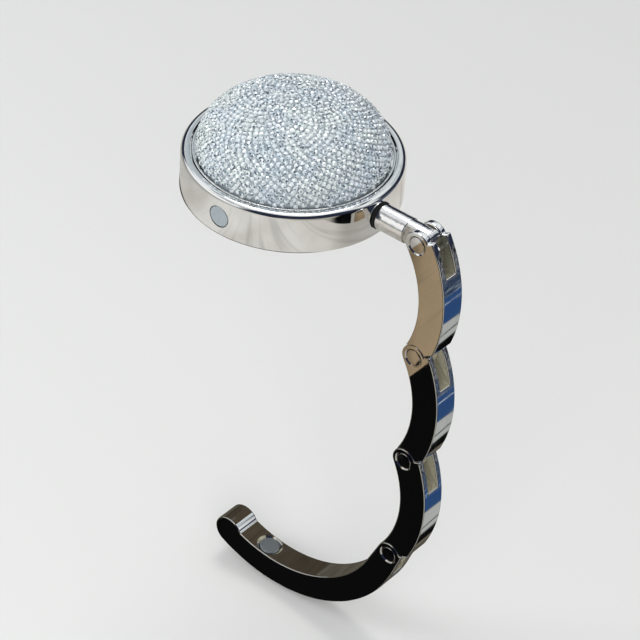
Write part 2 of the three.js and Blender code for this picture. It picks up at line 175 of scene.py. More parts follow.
def ray_to_circle(degrees: float, centre: Point, radius: float) -> Point:
    """Return where the ray from the origin at an angle leaves a circle.

    Args:
        degrees: The ray's angle.
        centre: The circle's centre.
        radius: Its radius.

    Returns:
        The point on the circle.
    """
    ray = Vector(polar((0.0, 0.0), 1.0, degrees))
    along = ray.dot(Vector(centre))
    reach = along + math.sqrt(along * along - Vector(centre).length_squared + radius * radius)
    return reach * ray.x, reach * ray.y


# ---- bench


class Bench:
    """Modelling steps on the active piece, done in millimetres as by hand."""

    MERGE = 0.004
    CREASE = 34.0
    SHARP = 28.0

    @staticmethod
    def clear() -> None:
        """Leave edit mode and deselect everything."""
        if bpy.context.object and bpy.context.object.mode != "OBJECT":
            bpy.ops.object.mode_set(mode="OBJECT")
        bpy.ops.object.select_all(action="DESELECT")

    @staticmethod
    def label(piece: Piece, name: str) -> Piece:
        """Name a piece and its mesh, and return the piece."""
        piece.name = piece.data.name = name
        return piece

    @classmethod
    def pick(cls, *pieces: Piece) -> None:
        """Make these pieces the only selected ones.

        Args:
            pieces: The pieces, the first of which becomes the active one.
        """
        cls.clear()
        for piece in pieces:
            piece.select_set(True)
        bpy.context.view_layer.objects.active = pieces[0]

    @classmethod
    def edit(cls, piece: Piece) -> None:
        """Open a piece in edit mode with all of it selected.

        Args:
            piece: The piece.
        """
        cls.pick(piece)
        bpy.ops.object.mode_set(mode="EDIT")
        bpy.ops.mesh.select_mode(type="VERT")
        bpy.ops.mesh.select_all(action="SELECT")

    @staticmethod
    def merge(reach: float) -> None:
        """Merge the doubles in edit mode, and leave everything selected.

        Args:
            reach: How far apart doubles may be.
        """
        bpy.ops.mesh.select_all(action="SELECT")
        bpy.ops.mesh.remove_doubles(threshold=reach)
        bpy.ops.mesh.select_all(action="SELECT")

    @classmethod
    def wire(cls, name: str, points: Sequence[Vector], closed: bool) -> Piece:
        """Draw a line of points by extruding one vertex.

        Args:
            name: The piece's name.
            points: The points in order.
            closed: Whether the line comes back to its start.

        Returns:
            The piece, left in edit mode with all of it selected.
        """
        cls.clear()
        bpy.ops.mesh.primitive_plane_add(size=1.0, location=(0, 0, 0))
        piece = cls.label(bpy.context.active_object, name)
        cls.edit(piece)
        bpy.ops.mesh.merge(type="CENTER")
        bpy.ops.transform.translate(value=points[0])
        path = [*points, points[0]] if closed else points
        for here, there in zip(path, path[1:]):
            bpy.ops.mesh.extrude_vertices_move(TRANSFORM_OT_translate={"value": there - here})
        cls.merge(cls.MERGE / 2)
        return piece

    @classmethod
    def close_up(cls) -> None:
        """Merge doubles, point all faces outwards and leave edit mode."""
        cls.merge(cls.MERGE / 2)
        bpy.ops.mesh.normals_make_consistent(inside=False)
        bpy.ops.object.mode_set(mode="OBJECT")

    @classmethod
    def turned(cls, name: str, profile: Iterable[Point], axis: Axis, steps: int = 96) -> Piece:
        """Spin a profile about an axis.

        Args:
            name: The piece's name.
            profile: Pairs of radius and station along the axis.
            axis: The axis.
            steps: The number of steps round.

        Returns:
            The turned piece.
        """
        along, out = Vector(axis.value), Vector((Axis.Z if axis is Axis.X else Axis.X).value)
        points = [along * station + out * radius for radius, station in profile]
        piece = cls.wire(name, points, closed=False)
        bpy.ops.mesh.spin(steps=steps, angle=FULL_TURN, center=(0, 0, 0), axis=axis.value)
        cls.close_up()
        return piece

    @classmethod
    def plate(cls, name: str, outline: Sequence[Point], width: float) -> Piece:
        """Fill an outline in X and Z and extrude it along Y, half to each side.

        Args:
            name: The piece's name.
            outline: The points round the outline.
            width: The plate's width.

        Returns:
            The plate.
        """
        piece = cls.wire(name, [Vector((x, -width / 2, z)) for x, z in outline], closed=True)
        bpy.ops.mesh.edge_face_add()
        bpy.ops.mesh.select_all(action="SELECT")
        bpy.ops.mesh.extrude_region_move(TRANSFORM_OT_translate={"value": (0.0, width, 0.0)})
        cls.close_up()
        return piece

    @classmethod
    def bar(cls, radius: float, start: Place, end: Place, facets: int = 96) -> Piece:
        """Make a round bar from one place to another, for cutting.

        Args:
            radius: Its radius.
            start: The middle of its first end.
            end: The middle of its other end.
            facets: The number of its sides.

        Returns:
            The bar.
        """
        cls.clear()
        first, last = Vector(start), Vector(end)
        bpy.ops.mesh.primitive_cylinder_add(
            vertices=facets,
            radius=radius,
            depth=(last - first).length,
            location=(first + last) / 2,
            rotation=(last - first).to_track_quat("Z", "Y").to_euler(),
        )
        return cls.settle(bpy.context.active_object)

    @classmethod
    def settle(cls, piece: Piece, move: Matrix | None = None) -> Piece:
        """Put an object's place, turn and size into its mesh.

        Args:
            piece: The piece.
            move: Where it goes first, or None to leave it where it is.

        Returns:
            The same piece.
        """
        if move is not None:
            piece.matrix_world = move
        cls.pick(piece)
        bpy.ops.object.transform_apply(location=True, rotation=True, scale=True)
        return piece

    @classmethod
    def apply(cls, piece: Piece, kind: str, **settings: object) -> None:
        """Add one modifier with its settings and apply it.

        Args:
            piece: The piece.
            kind: The modifier's type.
            settings: Its settings.
        """
        cls.pick(piece)
        modifier = piece.modifiers.new(kind.lower(), kind)
        for key, value in settings.items():
            setattr(modifier, key, value)
        bpy.ops.object.modifier_apply(modifier=modifier.name)

    @classmethod
    def carve(cls, piece: Piece, *cutters: Piece, how: Cut = Cut.AWAY) -> None:
        """Work other solids into a piece, and remove them.

        Args:
            piece: The piece that is changed.
            cutters: The solids that are cut away, joined or shared.
            how: What they do to the piece.
        """
        for cutter in cutters:
            cls.apply(piece, "BOOLEAN", object=cutter, operation=how.value, solver="EXACT")
            bpy.data.objects.remove(cutter, do_unlink=True)
        cls.edit(piece)
        cls.merge(cls.MERGE)
        bpy.ops.object.mode_set(mode="OBJECT")

    @classmethod
    def soften(cls, piece: Piece, width: float, chosen: Callable[[Vector], bool]) -> None:
        """Round the sharp edges of a piece in one region, after all its cuts.

        Args:
            piece: The piece.
            width: How far the rounding reaches from each edge.
            chosen: Tells from an edge's middle whether it is rounded.
        """
        cls.edit(piece)
        bpy.ops.mesh.select_mode(type="EDGE")
        bpy.ops.mesh.select_all(action="DESELECT")
        bpy.ops.mesh.edges_select_sharp(sharpness=math.radians(cls.SHARP))
        bpy.ops.object.mode_set(mode="OBJECT")
        for edge in piece.data.edges:
            first, second = (piece.data.vertices[end].co for end in edge.vertices)
            edge.select = edge.select and chosen((first + second) / 2)
        bpy.ops.object.mode_set(mode="EDIT")
        bpy.ops.mesh.bevel(offset=width, segments=3, affect="EDGES", clamp_overlap=False)
        bpy.ops.object.mode_set(mode="OBJECT")

    @classmethod
    def smooth(cls, piece: Piece) -> Piece:
        """Shade a piece smooth up to the crease angle, with its flat faces kept flat.

        Args:
            piece: The piece.

        Returns:
            The same piece.
        """
        cls.pick(piece)
        bpy.ops.object.shade_smooth_by_angle(angle=math.radians(cls.CREASE))
        cls.apply(piece, "WEIGHTED_NORMAL", keep_sharp=True, weight=50, mode="FACE_AREA")
        return piece

    @classmethod
    def copy(cls, piece: Piece, name: str) -> Piece:
        """Copy a piece, with a mesh of its own.

        Args:
            piece: The pattern.
            name: The copy's name.

        Returns:
            The copy.
        """
        twin = piece.copy()
        twin.data = piece.data.copy()
        bpy.context.scene.collection.objects.link(twin)
        return cls.label(twin, name)

    @staticmethod
    def discard(*pieces: Piece) -> None:
        """Remove patterns that have been copied."""
        for piece in pieces:
            bpy.data.objects.remove(piece, do_unlink=True)

    @classmethod
    def hand_over(
        cls, piece: Piece, finish: Finish, body: Body, node: str, seat: Seat = Seat()
    ) -> Piece:
        """Bring a piece to metres and its place, dress it and let it ride.

        Args:
            piece: The finished piece in millimetres.
            finish: Its finish.
            body: The body that it moves with.
            node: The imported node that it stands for.
            seat: Where its own drawing stands.

        Returns:
            The same piece.
        """
        cls.settle(piece, Matrix.Scale(METRES, 4) @ seat.matrix())
        piece.data.materials.clear()
        piece.data.materials.append(finish.material())
        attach(piece, body.value)
        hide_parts(node)
        LOG.info("%s: %d faces on %s", piece.name, len(piece.data.polygons), body.value)
        return piece


# ---- finishes


class Signal:
    """A shader socket that takes part in sums, one Math node for each operator."""

    def __init__(self, sheet: Sheet, socket: Socket) -> None:
        """Keep the socket and the sheet that it is on."""
        self.sheet, self.socket = sheet, socket

    def __add__(self, other: Signal | float) -> Signal:
        """Add."""
        return self.sheet.math("ADD", self, other)

    def __sub__(self, other: Signal | float) -> Signal:
        """Subtract."""
        return self.sheet.math("SUBTRACT", self, other)

    def __rsub__(self, other: float) -> Signal:
        """Subtract from a number."""
        return self.sheet.math("SUBTRACT", other, self)

    def __mul__(self, other: Signal | float) -> Signal:
        """Multiply."""
        return self.sheet.math("MULTIPLY", self, other)

    __radd__ = __add__
    __rmul__ = __mul__

    def ramp(self, low: float, high: float, start: float = 0.0, end: float = 1.0) -> Signal:
        """Step softly from start to end as the value goes from low to high.

        Args:
            low: The value at which the step starts.
            high: The value at which it ends.
            start: The result below it.
            end: The result above it.

        Returns:
            The step.
        """
        ends = {"Value": self, "From Min": low, "From Max": high, "To Min": start, "To Max": end}
        node = self.sheet.node("ShaderNodeMapRange", ends, interpolation_type="SMOOTHSTEP")
        return Signal(self.sheet, node.outputs["Result"])

    def window(self, low: float, high: float, soft: float) -> Signal:
        """Return 1 between two values and 0 outside, with soft ends."""
        return self.ramp(low - soft, low + soft) * self.ramp(high - soft, high + soft, 1.0, 0.0)


class Sheet:
    """One node tree, and the few ways in which nodes are put on it."""

    def __init__(self, owner: bpy.types.Material | bpy.types.World) -> None:
        """Start with the owner's empty tree.

        Args:
            owner: The material or world that is painted.
        """
        owner.use_nodes = True
        self.tree = owner.node_tree
        self.tree.nodes.clear()

    def node(
        self, kind: str, inputs: Mapping[str | int, object] | None = None, **settings: object
    ) -> bpy.types.Node:
        """Add a node.

        Args:
            kind: The node's type.
            inputs: Values or links for its sockets, by name or place.
            settings: Its own settings, set first.

        Returns:
            The node.
        """
        made = self.tree.nodes.new(kind)
        for key, value in settings.items():
            setattr(made, key, value)
        for key, value in (inputs or {}).items():
            socket = made.inputs[key]
            value = value.socket if isinstance(value, Signal) else value
            if isinstance(value, Socket):
                self.tree.links.new(value, socket)
            else:
                socket.default_value = (*value, 1.0) if socket.type == "RGBA" else value
        return made

    def math(self, operation: str, *terms: Signal | float) -> Signal:
        """Return the result of one Math node."""
        made = self.node("ShaderNodeMath", dict(enumerate(terms)), operation=operation)
        return Signal(self, made.outputs[0])

    def blend(self, factor: Signal, low: Colour | Socket, high: Colour | Socket) -> Socket:
        """Mix two colours.

        Args:
            factor: From 0 for the first colour to 1 for the second.
            low: The first colour.
            high: The second colour.

        Returns:
            The mixed colour.
        """
        inputs = {0: factor, 6: low, 7: high}
        return self.node("ShaderNodeMix", inputs, data_type="RGBA").outputs[2]

    def layers(self, base: Colour | Socket, *coats: tuple[Signal, Colour | Socket]) -> Socket:
        """Paint coats over a base colour.

        Args:
            base: The colour underneath.
            coats: A mask and a colour for each coat, in order.

        Returns:
            The painted colour.
        """
        for mask, colour in coats:
            base = self.blend(mask, base, colour)
        return base

    def place(self, scale: Colour = (1.0, 1.0, 1.0)) -> Socket:
        """Return the piece's own coordinates in metres, stretched by a scale."""
        where = self.node("ShaderNodeTexCoord").outputs["Object"]
        return self.node("ShaderNodeMapping", {"Vector": where, "Scale": scale}).outputs["Vector"]

    def parts(self, where: Socket | None = None) -> list[Signal]:
        """Return the three parts of a vector, or of the piece's own coordinates."""
        made = self.node("ShaderNodeSeparateXYZ", {0: where or self.place()})
        return [Signal(self, part) for part in made.outputs]

    def distance(self) -> Signal:
        """Return the distance from the piece's own origin in metres."""
        made = self.node("ShaderNodeVectorMath", {0: self.place()}, operation="LENGTH")
        return Signal(self, made.outputs["Value"])

    def noise(
        self,
        scale: float,
        detail: float = 2.0,
        stretch: Colour = (1.0, 1.0, 1.0),
        where: Socket | None = None,
    ) -> Signal:
        """Return soft noise.

        Args:
            scale: The number of patches for each metre.
            detail: How many finer layers it has.
            stretch: How much finer it is along each axis.
            where: The coordinates, or None for the piece's own.

        Returns:
            The noise, from 0 to 1.
        """
        inputs = {"Vector": where or self.place(stretch), "Scale": scale, "Detail": detail}
        inputs["Roughness"] = 0.5 if where else 0.55
        return Signal(self, self.node("ShaderNodeTexNoise", inputs).outputs[0])

    def bump(self, height: Signal, distance: float, strength: float) -> Socket:
        """Return a normal bumped by a height over a distance, at a strength."""
        inputs = {"Height": height, "Distance": distance, "Strength": strength}
        return self.node("ShaderNodeBump", inputs).outputs["Normal"]

    def surface(self, **inputs: object) -> None:
        """Finish the sheet with one principled shader.

        Args:
            inputs: Its sockets by name, with an underscore for each blank.
        """
        named = {key.replace("_", " "): value for key, value in inputs.items()}
        shader = self.node("ShaderNodeBsdfPrincipled", named)
        self.node("ShaderNodeOutputMaterial", {"Surface": shader.outputs[0]})


@dataclass(frozen=True)
class Finish:
    """A surface finish: its name, its slot and its plain colour."""

    name: str
    slot: Slot
    colour: Colour

    def material(self) -> bpy.types.Material:
        """Make the finish's material on first use.

        Returns:
            The material.
        """
        found = bpy.data.materials.get(self.name)
        if not found:
            found = bpy.data.materials.new(self.name)
            self.paint(Sheet(found))
        return found

    def paint(self, sheet: Sheet) -> None:
        """Lay out the nodes of a plain coat; each finish has its own."""
        sheet.surface(Base_Color=self.colour)

    def dimmed(self, share: float) -> Colour:
        """Return the finish's colour at a share of its brightness."""
        return tuple(share * part for part in self.colour)


@dataclass(frozen=True)
class PolishedPlate(Finish):
    """Bright plating over a polished casting, with faint handling marks."""

    roughness: float = 0.045
    smudge: float = 0.075
    metal: float = 1.0
    wave_scale: float = 160.0
    wave_depth: float = 0.00002

    def clouds(self, sheet: Sheet) -> Signal:
        """Return the cloudy smudges that hands leave."""
        return sheet.noise(260.0, 3.0).ramp(0.45, 0.75)

    def paint(self, sheet: Sheet) -> None:
        """Lay out cloudy smudges, hairlines and a very slight waviness.

        Args:
            sheet: The material's sheet.
        """
        clouds = self.clouds(sheet)
        hairs = sheet.noise(900.0, 2.0, (1.0, 1.0, 9.0)).ramp(0.60, 0.72)
        wave = sheet.noise(self.wave_scale, 1.0)
        sheet.surface(
            Base_Color=sheet.blend(clouds * 0.6 + hairs * 0.3, self.colour, self.dimmed(0.93)),
            Metallic=self.metal,
            Roughness=self.roughness + clouds * self.smudge + hairs * 0.05,
            Normal=sheet.bump(wave + hairs * 0.02, self.wave_depth, 0.35),
        )


@dataclass(frozen=True)
class SlotPlate(PolishedPlate):
    """Duller, darker plate between a fork's cheeks, with painted shade: darkest at the first fork,
    in the neck's shade.
    """

    painted_dark: Colour = (0.11, 0.11, 0.08)

    def paint(self, sheet: Sheet) -> None:
        """Lay out cloudy smudges and the painted shade that darkens towards the first fork.

        Args:
            sheet: The material's sheet.
        """
        clouds, height = self.clouds(sheet), sheet.parts()[2]
        sheet.surface(
            # painted shade: darker with height, towards the first fork and the neck
            Base_Color=sheet.blend(height.ramp(-0.007, 0.007), self.colour, self.painted_dark),
            Metallic=self.metal,
            Roughness=self.roughness + clouds * self.smudge,
            Normal=sheet.bump(clouds, self.wave_depth, 0.35),
        )


@dataclass(frozen=True)
class MagnetFace(Finish):
    """Ground nickel face of a small disc magnet."""

    def paint(self, sheet: Sheet) -> None:
        """Lay out fine grinding lines and a few dull spots.

        Args:
            sheet: The material's sheet.
        """
        lines = sheet.noise(2200.0, 2.0, (1.0, 1.0, 0.08))
        spots = sheet.noise(700.0, 3.0).ramp(0.58, 0.70)
        sheet.surface(
            Base_Color=sheet.blend(spots * 0.7, self.colour, self.dimmed(0.80)),
            Metallic=0.85,
            Roughness=0.10 + lines * 0.08 + spots * 0.10,
            Normal=sheet.bump(lines, 0.00002, 0.4),
        )


@dataclass(frozen=True)
class TurnedSteel(Finish):
    """Plain steel of a washer or clip, with turning marks."""

    stained: Colour = (0.36, 0.33, 0.29)

    def paint(self, sheet: Sheet) -> None:
        """Lay out turning marks and oil stains.

        Args:
            sheet: The material's sheet.
        """
        marks = sheet.noise(3000.0, 1.0, (1.0, 0.15, 0.15))
        stains = sheet.noise(500.0, 3.0).ramp(0.50, 0.72)
        sheet.surface(
            Base_Color=sheet.blend(stains * 0.5, self.colour, self.stained),
            Metallic=1.0,
            Roughness=0.22 + marks * 0.14 + stains * 0.12,
            Normal=sheet.bump(marks, 0.00002, 0.3),
        )


@dataclass(frozen=True)
class SoftRubber(Finish):
    """Matt black rubber with a fine grain."""

    bloomed: Colour = (0.035, 0.035, 0.037)

    def paint(self, sheet: Sheet) -> None:
        """Lay out grain and a greyish bloom.

        Args:
            sheet: The material's sheet.
        """
        grain = sheet.noise(5200.0, 3.0)
        bloom = sheet.noise(300.0, 3.0).ramp(0.45, 0.75)
        sheet.surface(
            Base_Color=sheet.blend(bloom, self.colour, self.bloomed),
            Roughness=0.62 + grain * 0.25,
            Specular_IOR_Level=0.35,
            Normal=sheet.bump(grain, 0.00005, 0.6),
        )


@dataclass(frozen=True)
class CastResin(Finish):
    """Pale grey-blue cast resin that the stones are bedded in."""

    def paint(self, sheet: Sheet) -> None:
        """Lay out soft clouding and small pits.

        Args:
            sheet: The material's sheet.
        """
        pits = sheet.noise(2600.0, 1.0).ramp(0.62, 0.75)
        sheet.surface(
            Base_Color=sheet.blend(sheet.noise(420.0, 3.0), self.colour, self.dimmed(0.55)),
            Roughness=0.28 + pits * 0.3,
            Normal=sheet.bump(pits, 0.00004, 0.4),
        )


@dataclass(frozen=True)
class FoiledStones(Finish):
    """Clear faceted stones over silver foil, with painted glints and painted dark reflections: each
    facet takes its own share of light and dark, at random.
    """

    tone: str = "tone"
    shadow: Colour = (0.08, 0.11, 0.15)
    green: Colour = (0.65, 0.72, 0.715)
    painted_glint: Colour = (0.95, 0.98, 0.99)

    def paint(self, sheet: Sheet) -> None:
        """Lay out one random tone for each facet, from the mesh's own attribute: it picks the
        painted glints and painted dark reflections.

        Args:
            sheet: The material's sheet.
        """
        source = sheet.node("ShaderNodeAttribute", attribute_name=self.tone)
        tone = Signal(sheet, source.outputs["Fac"])
        colour = sheet.layers(
            self.colour,
            (sheet.noise(120.0, 2.0).ramp(0.35, 0.65), self.green),
            (tone.ramp(0.45, 0.98), self.painted_glint),
            (tone.ramp(0.11, 0.25, 1.0, 0.0), self.shadow),
        )
        sheet.surface(
            Base_Color=colour,
            Metallic=0.05 + tone * 0.20,
            Roughness=0.08 + sheet.noise(3000.0, 1.0) * 0.10,
            Coat_Weight=1.0,
            Coat_Roughness=0.04,
            IOR=1.6,
        )


PLATE = PolishedPlate("polished_plate", Slot.CHROME, (0.88, 0.885, 0.89))
PIN_PLATE = PolishedPlate("polished_pin", Slot.CHROME, (0.86, 0.865, 0.87), 0.09, 0.12)
NECK_PLATE = PolishedPlate(
    "neck_plate", Slot.CHROME, (0.90, 0.89, 0.885), 0.09, 0.09, wave_scale=900.0, wave_depth=0.00012
)
# Satin plate between the cheeks; its darker olive colour is painted shade between them.
DULL_PLATE_AND_SHADE = SlotPlate("dull_plate_and_shade", Slot.CHROME, (0.49, 0.465, 0.355), 0.26, 0.20, metal=0.35)
MAGNET = MagnetFace("ground_nickel", Slot.MAGNET, (0.46, 0.53, 0.59))
STEEL = TurnedSteel("turned_steel", Slot.STEEL, (0.55, 0.56, 0.58))
RUBBER = SoftRubber("black_rubber", Slot.RUBBER, (0.012, 0.012, 0.013))
RESIN = CastResin("bedding_resin", Slot.RESIN, (0.40, 0.46, 0.50))
# Resin bed, darkened as painted shade in the gaps between the stones.
STONE_BED_AND_SHADE = CastResin("stone_bed_and_shade", Slot.STONES, (0.37, 0.43, 0.47))
STONES = FoiledStones("foiled_stones", Slot.STONES, (0.54, 0.625, 0.705))


# ---- case


@dataclass(frozen=True)
class Magnet:
    """A disc magnet, set in a pocket a little under the face round it."""

    radius: float = 2.25
    thickness: float = 2.0
    edge: float = 0.14
    inset: float = 0.05
    gap: float = 0.15

    def depth(self) -> float:
        """Return how deep the pocket reaches under the face."""
        return self.inset + self.thickness + self.gap

    def build(self, name: str, move: Matrix) -> Piece:
        """Return the magnet, moved from a drawing whose face is at the origin and back at +Y."""
        profile = disc(self.radius, 0.0, self.thickness, self.edge)
        return Bench.smooth(Bench.settle(Bench.turned(name, profile, Axis.Y, steps=72), move))


@dataclass(frozen=True)
class Case:
    """The turned metal cup, its pad and the magnet in its rim."""

    radius: float = 22.5
    base: float = 0.4
    top: float = 9.4
    top_round: float = 1.0
    base_round: float = 0.35
    inner_edge: float = 0.16
    recess_radius: float = 20.7
    ledge: float = 7.0
    cavity_radius: float = 19.2
    cavity_floor: float = 2.1
    pad_recess_radius: float = 20.5
    pad_recess_top: float = 1.3
    pad_radius: float = 20.2
    pad_thickness: float = 1.0
    pad_edge: float = 0.2
    bore_radius: float = 1.63
    spot_radius: float = 3.02
    spot_station: float = 22.28
    overrun: float = 3.0
    magnet: Magnet = Magnet()

    def build(self) -> None:
        """Make the cup, the pad and the magnet."""
        Bench.hand_over(self.cup(), PLATE, Body.CASE, "case_body")
        profile = disc(self.pad_radius, 0.0, self.pad_thickness, self.pad_edge)
        pad = Bench.smooth(Bench.turned("case_pad", profile, Axis.Z, steps=144))
        Bench.hand_over(pad, RUBBER, Body.CASE, "rubber_pad")
        face = Matrix.Translation((0.0, self.magnet.inset - self.radius, NECK_HEIGHT))
        magnet = self.magnet.build("rim_magnet", face)
        Bench.hand_over(magnet, MAGNET, Body.CASE, "case_magnet")

    def cup(self) -> Piece:
        """Turn the cup, and cut its bore, its spot face and the magnet's pocket.

        Returns:
            The finished cup.
        """
        profile = [
            (0.0, self.cavity_floor),
            (0.0, self.pad_recess_top),
            (self.pad_recess_radius, self.pad_recess_top),
            *quarter((self.pad_recess_radius, self.base), self.inner_edge, 180),
            *quarter((self.radius, self.base), self.base_round, -90, 8),
            *quarter((self.radius, self.top), self.top_round, 0, 14),
            *quarter((self.recess_radius, self.top), self.inner_edge, 90, 5),
            (self.recess_radius, self.ledge),
            (self.cavity_radius, self.ledge),
            (self.cavity_radius, self.cavity_floor),
            (0.0, self.cavity_floor),
        ]
        cup = Bench.turned("case_cup", profile, Axis.Z, steps=288)
        far, height = self.radius + self.overrun, NECK_HEIGHT
        inside, depth = self.cavity_radius - self.overrun, self.radius - self.magnet.depth()
        wall = self.magnet.radius + self.magnet.gap
        bore = Bench.bar(self.bore_radius, (inside, 0, height), (far, 0, height), facets=64)
        spot = Bench.bar(self.spot_radius, (self.spot_station, 0, height), (far, 0, height))
        pocket = Bench.bar(wall, (0, -far, height), (0, -depth, height))
        Bench.carve(cup, bore, spot, pocket)
        return Bench.smooth(cup)


# ---- stones


@dataclass(frozen=True)
class StoneInsert:
    """The lipped tray, the bed and the field of small faceted stones."""

    tray_radius: float = 20.4
    tray_base: float = 7.3
    tray_top: float = 9.3
    tray_lip: float = 0.5
    tray_floor: float = 0.7
    tray_edge: float = 0.18
    bed_base: float = 8.3
    bed_inset: float = 0.52
    dome_foot: float = 9.7
    dome_radius: float = 19.75
    dome_rise: float = 11.0
    crust: float = 0.9
    belly: float = 2.6
    crown: float = 2.1
    share: float = 1.24
    gem_radius: float = 0.60
    gem_tiers: tuple[Point, ...] = ((0.20, 1.0), (0.20, 0.78), (0.14, 0.50))
    gem_sizes: Point = (0.88, 1.06)
    sink: float = 0.68
    heave: float = 0.05
    tilt: float = 8.5
    skirt_foot: float = 9.1
    seed: int = 20

    def build(self) -> None:
        """Make the tray, the bed and the stones."""
        Bench.hand_over(self.tray(), PLATE, Body.CASE, "dome_tray")
        Bench.hand_over(self.bed(), STONE_BED_AND_SHADE, Body.CASE, "stone_crust")
        Bench.hand_over(self.stones(), STONES, Body.CASE, "stone_crust")

    def dome(self, inset: float, turn: float) -> Point:
        """Return a point of the dome's section.

        Args:
            inset: How far inside the outer surface.
            turn: From 0 at the crown to 90 degrees at the foot.

        Returns:
            The radius and the height.
        """
        angle = math.radians(turn)
        across = (self.dome_radius - inset) * math.sin(angle) ** (2 / self.belly)
        up = (self.dome_rise - inset) * max(math.cos(angle), 0.0) ** (2 / self.crown)
        return across, self.dome_foot + up

    def tray(self) -> Piece:
        """Turn the tray, with its thin rounded lip.

        Returns:
            The finished tray.
        """
        lip, floor = self.tray_radius - self.tray_lip, self.tray_base + self.tray_floor
        profile = [
            (0.0, self.tray_base),
            (self.tray_radius, self.tray_base),
            *quarter((self.tray_radius, self.tray_top), self.tray_edge, 0, 6),
            *quarter((lip, self.tray_top), self.tray_edge, 90, 6),
            (lip, floor),
            (0.0, floor),
        ]
        return Bench.smooth(Bench.turned("insert_tray", profile, Axis.Z, steps=216))

    def bed(self) -> Piece:
        """Return the bed under the stones, a shell over the core."""
        profile = [
            *(self.dome(self.bed_inset, turn) for turn in range(0, 91, 3)),
            (self.dome_radius - self.bed_inset, self.bed_base),
            (self.dome_radius - self.crust, self.bed_base),
            *(self.dome(self.crust, turn) for turn in range(90, -1, -5)),
        ]
        return Bench.smooth(Bench.turned("stone_bed_and_shade", profile, Axis.Z, steps=120))

    def gem(self) -> Piece:
        """Make one stone: a girdle, two tiers of facets and a flat top.

        Returns:
            The stone, to be copied.
        """
        Bench.clear()
        bpy.ops.mesh.primitive_circle_add(vertices=8, radius=self.gem_radius, fill_type="NGON")
        gem = bpy.context.active_object
        Bench.edit(gem)
        for rise, shrink in self.gem_tiers:
            bpy.ops.mesh.extrude_region_move(TRANSFORM_OT_translate={"value": (0, 0, rise)})
            bpy.ops.transform.resize(value=(shrink, shrink, 1.0))
        Bench.close_up()
        return gem

    def seats(self) -> list[tuple[Vector, Vector]]:
        """Lay the stones' seats out on a spiral, each with the same share of the dome.

        Returns:
            Where each stone stands and the way it faces.
        """
        fine = [self.dome(self.sink, turn / 4) for turn in range(361)]
        fine.append((self.dome_radius - self.sink, self.skirt_foot))
        covered = [0.0]
        for here, there in zip(fine, fine[1:]):
            covered.append(covered[-1] + math.pi * (here[0] + there[0]) * math.dist(here, there))
        count = round(covered[-1] / self.share)
        golden = math.pi * (3 - math.sqrt(5))
        found: list[tuple[Vector, Vector]] = []
        for stone in range(count):
            area = covered[-1] * (stone + 0.5) / count
            index = bisect.bisect_left(covered, area)
            here, there = (Vector((fine[end][0], 0.0, fine[end][1])) for end in (index - 1, index))
            along = (area - covered[index - 1]) / (covered[index] - covered[index - 1])
            slope = Vector((here.z - there.z, 0.0, there.x - here.x)).normalized()
            turn = Matrix.Rotation(golden * stone, 3, "Z")
            found.append((turn @ here.lerp(there, along), turn @ slope))
        return found

    def stones(self) -> Piece:
        """Set all the stones, each with a small lean, size and height of its own.

        Returns:
            The stones as one piece.
        """
        rng = random.Random(self.seed)
        gem = self.gem()
        copies = []
        for spot, normal in self.seats():
            leans = [math.radians(rng.gauss(0, self.tilt)) for _ in range(2)]
            lean = Euler((*leans, rng.uniform(0, FULL_TURN))).to_matrix()
            facing = normal.to_track_quat("Z", "Y").to_matrix()
            size = Matrix.Scale(rng.uniform(*self.gem_sizes), 4)
            spot = spot + normal * rng.uniform(-self.heave, self.heave)
            twin = Bench.copy(gem, "stone")
            twin.matrix_world = Matrix.Translation(spot) @ (facing @ lean).to_4x4() @ size
            copies.append(twin)
        Bench.discard(gem)
        Bench.pick(*copies)
        bpy.ops.object.join()
        crowd = Bench.settle(Bench.label(copies[0], "stone_field"))
        # one random tone per facet; the finish turns high tones into painted glints and low ones
        # into painted dark reflections
        for facet in crowd.data.attributes.new(STONES.tone, "FLOAT", "FACE").data:
            facet.value = rng.random()
        LOG.info("%d stones", len(copies))
        return crowd


# ---- chain


